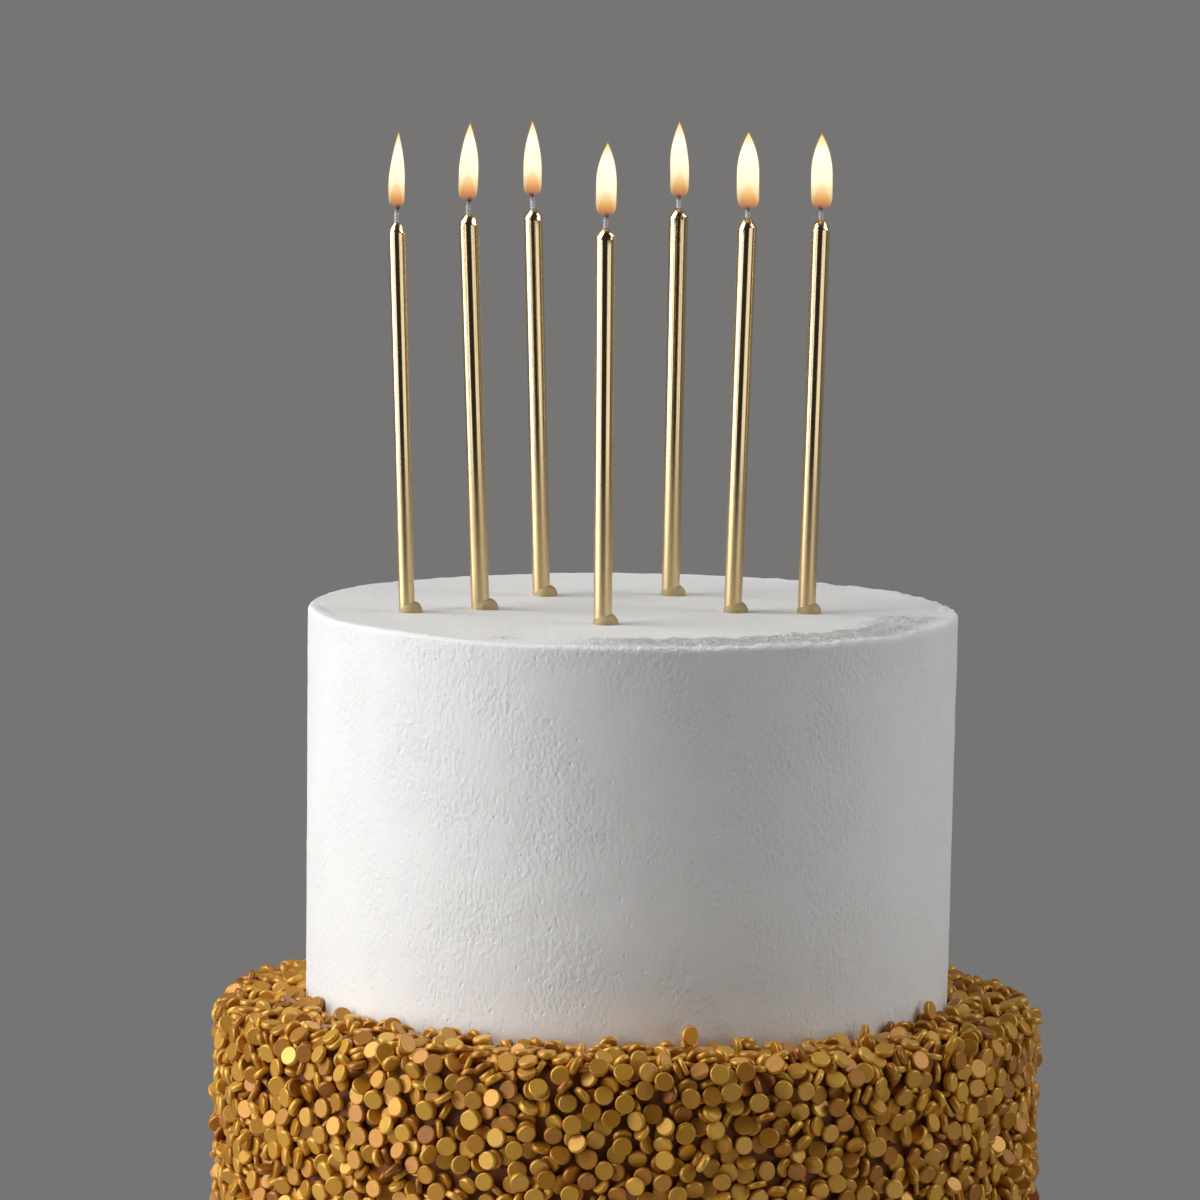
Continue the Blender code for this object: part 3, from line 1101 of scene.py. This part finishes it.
    def build(self) -> list[bpy.types.Object]:
        """Makes the frosted tier and its coat, one piece for each shade of confetti."""
        made = [self.core()]
        discs = self.settle()
        tree = self.disc_tree()
        order = self.rng.uniform(0.0, 1.0, len(discs))
        tones = self.rng.normal(0.35, 0.22, len(discs)).clip(0.0, 1.0)
        sizes = np.stack(
            [
                self.rng.normal(1.0, 0.035, len(discs)),
                self.rng.normal(1.0, 0.035, len(discs)),
                self.rng.normal(1.0, 0.09, len(discs)),
            ],
            axis=1,
        ).clip(0.78, 1.15)
        start = 0.0
        for shade in Shade:
            share = shade.value[3]
            chosen = np.flatnonzero((order >= start) & (order < start + share))
            start += share
            seeds = self.seeds([discs[i] for i in chosen], tones[chosen], sizes[chosen])
            piece = grown(
                "confetti_" + shade.value[0],
                seeds,
                tree,
                {
                    "Radius": self.disc_radius,
                    "Thickness": self.disc_thickness,
                    "Rounding": self.disc_rounding,
                    "Sides": self.disc_sides,
                    "Finish": shade.finish().material(),
                },
            )
            made.append(hand_over(piece, "gold_sprinkles"))
        log.info("%d discs of confetti", len(discs))
        return made


# ---------------------------------------------------------------- candles


@dataclass(frozen=True)
class FlameShape:
    """A flame's outline: where it stops being a cylinder, and how fully it closes from there."""

    widest: float
    fullness: float


FLAME_SHAPES = (
    FlameShape(0.34, 1.7),
    FlameShape(0.38, 1.9),
    FlameShape(0.36, 1.9),
    FlameShape(0.44, 2.1),
    FlameShape(0.38, 2.2),
    FlameShape(0.44, 2.2),
    FlameShape(0.44, 2.2),
)


@dataclass
class Candle:
    """One candle with its bead, wick and flame, on its CAD nodes' places."""

    number: int
    shape: FlameShape
    sides: int = 48
    tip_height: float = 2.9 * MM
    tip_radius: float = 0.62 * MM
    twist_depth: float = 0.05
    dent: float = 0.022 * MM
    dent_grain: float = 7.0 * MM
    wick_reach: float = 0.9 * MM
    flame_sink: float = 1.3 * MM
    foot_share: float = 0.893
    bead_lap: float = 0.95 * MM
    bead_height: float = 2.75 * MM
    bead_shift: float = 0.25 * MM
    strand_radius: float = 0.34 * MM
    strand_spread: float = 0.27 * MM
    strand_twists: float = 2.1

    def __post_init__(self) -> None:
        """Reads the candle's axis and girth from the frame."""
        points = node_points(f"candle_{self.number}")
        self.end = end_centre(points, highest=False)
        self.tip = end_centre(points, highest=True)
        self.axis = (self.tip - self.end).normalized()
        self.length = (self.tip - self.end).length
        low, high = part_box(f"candle_{self.number}")
        self.radius = (high.y - low.y) / 2.0
        self.foot_radius = self.radius * self.foot_share
        self.noise = SmoothNoise(100 + self.number)

    def in_place(self, points: np.ndarray) -> np.ndarray:
        """Takes points from the candle's own axis to their place on the cake."""
        turn = Vector((0.0, 0.0, 1.0)).rotation_difference(self.axis).to_matrix()
        return points @ np.array(turn).T + np.array(self.end)

    def stick(self, material: bpy.types.Material) -> bpy.types.Object:
        """The foil-covered stick, with its twisted tip."""
        chamfer = 0.5 * MM
        neck = self.length - self.tip_height
        heights = np.linspace(chamfer, neck, 46)
        share = heights / neck
        shaft = np.stack(
            [self.foot_radius + (self.radius - self.foot_radius) * share, heights], axis=1
        )
        climb = np.linspace(0.0, 1.0, 19)[1:]
        tip_radii = self.tip_radius + (self.radius - self.tip_radius) * (1.0 - climb**2)
        tip = np.stack([tip_radii, neck + self.tip_height * climb], axis=1)
        profile = np.concatenate(
            [
                [[0.0, self.length]],
                tip[::-1],
                shaft[::-1],
                [[self.foot_radius - chamfer, 0.0], [0.0, 0.0]],
            ]
        )
        points, faces = revolved(profile, self.sides)
        angle = np.arctan2(points[:, 1], points[:, 0])
        below_tip = (self.length - points[:, 2]) / self.tip_height
        in_tip = smooth_step(below_tip, 0.03, 0.25) * (1.0 - smooth_step(below_tip, 0.7, 1.05))
        spiral = np.cos(2.0 * angle - 5.2 * below_tip + self.number)
        swell = 1.0 + self.twist_depth * in_tip * spiral
        out = np.hypot(points[:, 0], points[:, 1])
        dents = self.dent * self.noise.at(points * np.array([1.0, 1.0, 0.35]), self.dent_grain)
        scale = swell + dents / np.maximum(out, 0.5 * MM) * (out > 0.5 * MM)
        points[:, :2] *= scale[:, None]
        name = f"gold_candle_{self.number}"
        made = piece_from(name, self.in_place(points), faces, material)
        return hand_over(made, "gold_foil", f"candle_{self.number}")

    def bead(self, material: bpy.types.Material) -> bpy.types.Object:
        """The wax bead round the candle's foot, which leans out to the right."""
        low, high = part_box(f"bead_{self.number}")
        radius = self.foot_radius + self.bead_lap
        turn = np.radians(np.linspace(90.0, 0.0, 13))
        rise = self.bead_height * np.sin(turn) ** 0.9
        dome = np.stack([radius * np.cos(turn) ** 0.85, rise], axis=1)
        under = [[radius * 0.96, -0.5 * MM], [0.0, -0.5 * MM]]
        points, faces = revolved(np.concatenate([dome, under]), 36)
        lumps = 1.0 + 0.04 * self.noise.at(points + 0.05, 2.4 * MM)
        points *= np.stack([lumps, lumps, np.ones_like(lumps)], axis=1)
        middle = (low + high) / 2.0
        centre = np.array([middle.x + self.bead_shift, middle.y, low.z - 0.3 * MM])
        made = piece_from(f"wax_bead_{self.number}", points + centre, faces, material)
        return hand_over(made, "bead_wax", f"bead_{self.number}")

    def wick(self, tree: bpy.types.NodeTree, material: bpy.types.Material) -> bpy.types.Object:
        """The braided wick, from inside the tip up to the flame."""
        cad = node_points(f"wick_{self.number}")
        low, high = end_centre(cad, False, 0.25 * MM), end_centre(cad, True, 0.25 * MM)
        start = self.tip - self.axis * 0.8 * MM
        end = low + self.axis * (high.z - low.z + self.wick_reach)
        bend = (high - low - self.axis * (high.z - low.z)) * 1.6
        steps = 12
        line = [start.lerp(end, i / steps) + bend * (i / steps) ** 3 for i in range(steps + 1)]
        mesh = bpy.data.meshes.new("wick_line")
        mesh.from_pydata([tuple(p) for p in line], [(i, i + 1) for i in range(steps)], [])
        made = grown(
            f"braided_wick_{self.number}",
            mesh,
            tree,
            {
                "Strands": 3,
                "Strand radius": self.strand_radius,
                "Spread": self.strand_spread,
                "Twists": self.strand_twists,
                "Finish": material,
            },
        )
        return hand_over(made, "cotton_wick", f"wick_{self.number}")

    def flame(self, layer: FlameLayer, material: bpy.types.Material) -> bpy.types.Object:
        """One layer of the flame."""
        low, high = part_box(f"flame_{self.number}")
        cad = node_points(f"flame_{self.number}")
        foot = end_centre(cad, False)
        shift = cad[np.argmax(cad[:, 2]), 0] - foot.x
        full = (high.y - low.y) / 2.0
        tall = high.z - low.z + self.flame_sink
        grow, base, top, widest, fullness = {
            FlameLayer.MANTLE: (1.03, 0.0, 1.0, self.shape.widest, self.shape.fullness),
            FlameLayer.BODY: (0.93, 0.02, 0.975, self.shape.widest, self.shape.fullness),
            FlameLayer.HEART: (0.66, 0.03, 0.42, 0.25, 1.2),
        }[layer]
        share = (1.0 - np.cos(np.linspace(0.0, math.pi, 44))) / 2.0
        lower = np.sqrt(1.0 - np.clip((widest - share) / widest, 0.0, 1.0) ** 8)
        upper = 1.0 - np.clip((share - widest) / (1.0 - widest), 0.0, 1.0) ** fullness
        outline = full * grow * np.minimum(lower, upper)
        heights = tall * (base + (top - base) * share)
        profile = np.stack([outline, heights], axis=1)[::-1]
        profile[0, 0] = profile[-1, 0] = 0.0
        points, faces = revolved(profile, 28)
        rise = points[:, 2] / tall
        points[:, 0] += shift * rise**2
        points[:, 0] += 0.10 * MM * self.noise.at(points * np.array([0.0, 0.0, 1.0]), 6.0 * MM)
        marks = {"rise": (points[:, 2] - heights.min()) / (heights.max() - heights.min())}
        points += np.array([foot.x, foot.y, low.z - self.flame_sink])
        name = f"flame_{layer.value}_{self.number}"
        made = piece_from(name, points, faces, material, marks)
        nodes = (f"flame_{self.number}",) if layer is FlameLayer.BODY else ()
        return hand_over(made, "flame", *nodes)


def wick_tree() -> bpy.types.NodeTree:
    """A tree that twists strands round a line, as a braided wick."""
    numbers = {"Strands": "Int", "Strand radius": "Float", "Spread": "Float", "Twists": "Float"}
    tree, given = open_tree("twisted_strands", numbers)
    line = add_node(tree, "GeometryNodeMeshToCurve", inputs={0: given["Geometry"]})
    fine = add_node(tree, "GeometryNodeResampleCurve", inputs={"Curve": line.outputs[0], "Count": 36})
    strands = add_node(
        tree,
        "GeometryNodeDuplicateElements",
        {"domain": "SPLINE"},
        {"Geometry": fine.outputs[0], "Amount": given["Strands"]},
    )
    along = add_node(tree, "GeometryNodeSplineParameter").outputs["Factor"]
    part = calculated(tree, "DIVIDE", strands.outputs["Duplicate Index"], given["Strands"])
    turns = calculated(tree, "MULTIPLY_ADD", along, given["Twists"], part)
    angle = calculated(tree, "MULTIPLY", turns, 2.0 * math.pi)
    x = calculated(tree, "MULTIPLY", calculated(tree, "COSINE", angle), given["Spread"])
    y = calculated(tree, "MULTIPLY", calculated(tree, "SINE", angle), given["Spread"])
    offset = add_node(tree, "ShaderNodeCombineXYZ", inputs={"X": x, "Y": y})
    twisted = add_node(
        tree,
        "GeometryNodeSetPosition",
        inputs={"Geometry": strands.outputs[0], "Offset": offset.outputs[0]},
    )
    marked = add_node(
        tree,
        "GeometryNodeStoreNamedAttribute",
        {"data_type": "FLOAT", "domain": "POINT"},
        {"Geometry": twisted.outputs[0], "Name": "along", "Value": along},
    )
    ring = add_node(
        tree, "GeometryNodeCurvePrimitiveCircle", inputs={"Resolution": 8, "Radius": given["Strand radius"]}
    )
    tube = add_node(
        tree,
        "GeometryNodeCurveToMesh",
        inputs={"Curve": marked.outputs[0], "Profile Curve": ring.outputs[0], "Fill Caps": True},
    )
    real = add_node(tree, "GeometryNodeRealizeInstances", inputs={"Geometry": tube.outputs[0]})
    dressed = add_node(
        tree, "GeometryNodeSetMaterial", inputs={"Geometry": real.outputs[0], "Material": given["Finish"]}
    )
    add_node(tree, "NodeGroupOutput", inputs={0: dressed.outputs[0]})
    return tree


@dataclass
class CandleSet:
    """All the candles on the cake."""

    def build(self) -> list[bpy.types.Object]:
        """Makes every candle with its bead, wick and flame."""
        foil, wax, cotton = FOIL.material(), BEAD_WAX.material(), WICK_COTTON.material()
        glows = {layer: layer.finish().material() for layer in FlameLayer}
        strands = wick_tree()
        made = []
        for number, shape in enumerate(FLAME_SHAPES, start=1):
            candle = Candle(number, shape)
            made += [candle.stick(foil), candle.bead(wax), candle.wick(strands, cotton)]
            made += [candle.flame(layer, glows[layer]) for layer in FlameLayer]
        return made


# ---------------------------------------------------------------- studio


@dataclass(frozen=True)
class Lamp:
    """A white soft box that faces the cake."""

    name: str
    azimuth: float
    elevation: float
    distance: float
    width: float
    height: float
    power: float

    def build(self, target: Vector) -> bpy.types.Object:
        """Places the lamp. Azimuth 0 is on the camera's side and -90 on its left."""
        data = bpy.data.lights.new(self.name, "AREA")
        data.shape = "RECTANGLE"
        data.size, data.size_y = self.width, self.height
        data.energy = self.power
        a, e = math.radians(self.azimuth), math.radians(self.elevation)
        away = Vector((math.sin(a) * math.cos(e), -math.cos(a) * math.cos(e), math.sin(e)))
        lamp = bpy.data.objects.new(self.name, data)
        bpy.context.scene.collection.objects.link(lamp)
        lamp.location = target + away * self.distance
        lamp.rotation_mode = "QUATERNION"
        lamp.rotation_quaternion = away.to_track_quat("Z", "Y")
        lamp.visible_camera = False
        return lamp


@dataclass
class Studio:
    """A dim room with a grey backdrop, a pale floor, soft boxes and the camera."""

    backdrop: str = "767574"
    paper: str = "D9D8D6"
    pool: float = 0.17
    pool_edge: float = 0.32
    distance: float = 2.5
    pitch: float = 6.55
    roll: float = 0.95
    lens: float = 305.0
    aim: tuple[float, float, float] = (-0.00824, 0.0, 0.20209)
    lamps: tuple[Lamp, ...] = (
        Lamp("key_soft_box", -77.0, 26.0, 1.3, 1.10, 2.2, 28.6),
        Lamp("front_left_strip", -42.0, -5.0, 1.3, 0.30, 0.50, 0.75),
        Lamp("front_right_strip", 46.0, -5.0, 1.3, 1.00, 0.50, 1.6),
        Lamp("right_fill", 84.0, 33.0, 1.3, 0.90, 0.90, 7.0),
    )

    def world(self) -> None:
        """Grey behind, and dark on the camera's side, which shows only in the gold."""
        world = bpy.data.worlds.new("studio_room")
        bpy.context.scene.world = world
        world.use_nodes = True
        tree = world.node_tree
        tree.nodes.clear()
        direction = add_node(tree, "ShaderNodeTexCoord").outputs["Generated"]
        towards = add_node(tree, "ShaderNodeSeparateXYZ", inputs={0: direction}).outputs["Y"]
        room = add_node(
            tree,
            "ShaderNodeMapRange",
            {"interpolation_type": "SMOOTHSTEP"},
            {"Value": towards, "From Min": -0.55, "From Max": 0.25, "To Min": 0.02, "To Max": 0.17},
        )
        dim = add_node(tree, "ShaderNodeBackground", inputs={"Color": room.outputs[0]})
        paper = add_node(tree, "ShaderNodeBackground", inputs={"Color": srgb(self.backdrop)})
        path = add_node(tree, "ShaderNodeLightPath")
        both = add_node(
            tree,
            "ShaderNodeMixShader",
            inputs={0: path.outputs["Is Camera Ray"], 1: dim.outputs[0], 2: paper.outputs[0]},
        )
        add_node(tree, "ShaderNodeOutputWorld", inputs={"Surface": both.outputs[0]})

    def floor(self) -> bpy.types.Object:
        """A pale paper floor that falls away into the grey of the room."""
        material = bpy.data.materials.new("paper_pale")
        material.use_nodes = True
        tree = material.node_tree
        tree.nodes.clear()
        place = add_node(tree, "ShaderNodeTexCoord").outputs["Object"]
        out = add_node(tree, "ShaderNodeVectorMath", {"operation": "LENGTH"}, {0: place})
        fade = add_node(
            tree,
            "ShaderNodeMapRange",
            {"interpolation_type": "SMOOTHSTEP"},
            {
                "Value": out.outputs["Value"],
                "From Min": self.pool,
                "From Max": self.pool_edge,
                "To Min": 1.0,
                "To Max": 0.0,
            },
        )
        paper = add_node(
            tree,
            "ShaderNodeBsdfPrincipled",
            inputs={"Base Color": srgb(self.paper), "Roughness": 0.9, "Alpha": fade.outputs[0]},
        )
        add_node(tree, "ShaderNodeOutputMaterial", inputs={"Surface": paper.outputs[0]})
        mesh = bpy.data.meshes.new("floor")
        reach = 0.4
        corners = [(-reach, -reach, 0.0), (reach, -reach, 0.0), (reach, reach, 0.0), (-reach, reach, 0.0)]
        mesh.from_pydata(corners, [], [(0, 1, 2, 3)])
        mesh.materials.append(material)
        floor = bpy.data.objects.new("floor", mesh)
        bpy.context.scene.collection.objects.link(floor)
        return floor

    def camera(self) -> bpy.types.Object:
        """The camera, a little above the cake's top and tilted a touch."""
        pitch, roll = math.radians(self.pitch), math.radians(self.roll)
        forward = Vector((0.0, math.cos(pitch), -math.sin(pitch)))
        right = Vector((1.0, 0.0, 0.0))
        up = right.cross(forward)
        tilted_right = right * math.cos(roll) + up * math.sin(roll)
        tilted_up = up * math.cos(roll) - right * math.sin(roll)
        data = bpy.data.cameras.new("camera")
        data.lens = self.lens
        data.sensor_width = 36.0
        data.clip_end = 50.0
        camera = bpy.data.objects.new("camera", data)
        bpy.context.scene.collection.objects.link(camera)
        turn = Matrix((tilted_right, tilted_up, -forward)).transposed()
        place = Vector(self.aim) - forward * self.distance
        camera.matrix_world = Matrix.Translation(place) @ turn.to_4x4()
        bpy.context.scene.camera = camera
        return camera

    def build(self) -> None:
        """Sets up the room, the lamps, the floor and the camera."""
        self.world()
        self.floor()
        self.camera()
        for lamp in self.lamps:
            lamp.build(Vector((0.0, 0.0, 0.2)))
        bpy.context.scene.view_settings.view_transform = "Standard"


def main() -> None:
    """Builds the cake and its studio."""
    logging.basicConfig(level=logging.INFO, format="%(message)s")
    Studio().build()
    UpperTier().build()
    ConfettiCoat().build()
    CandleSet().build()


if __name__ == "__main__":
    main()
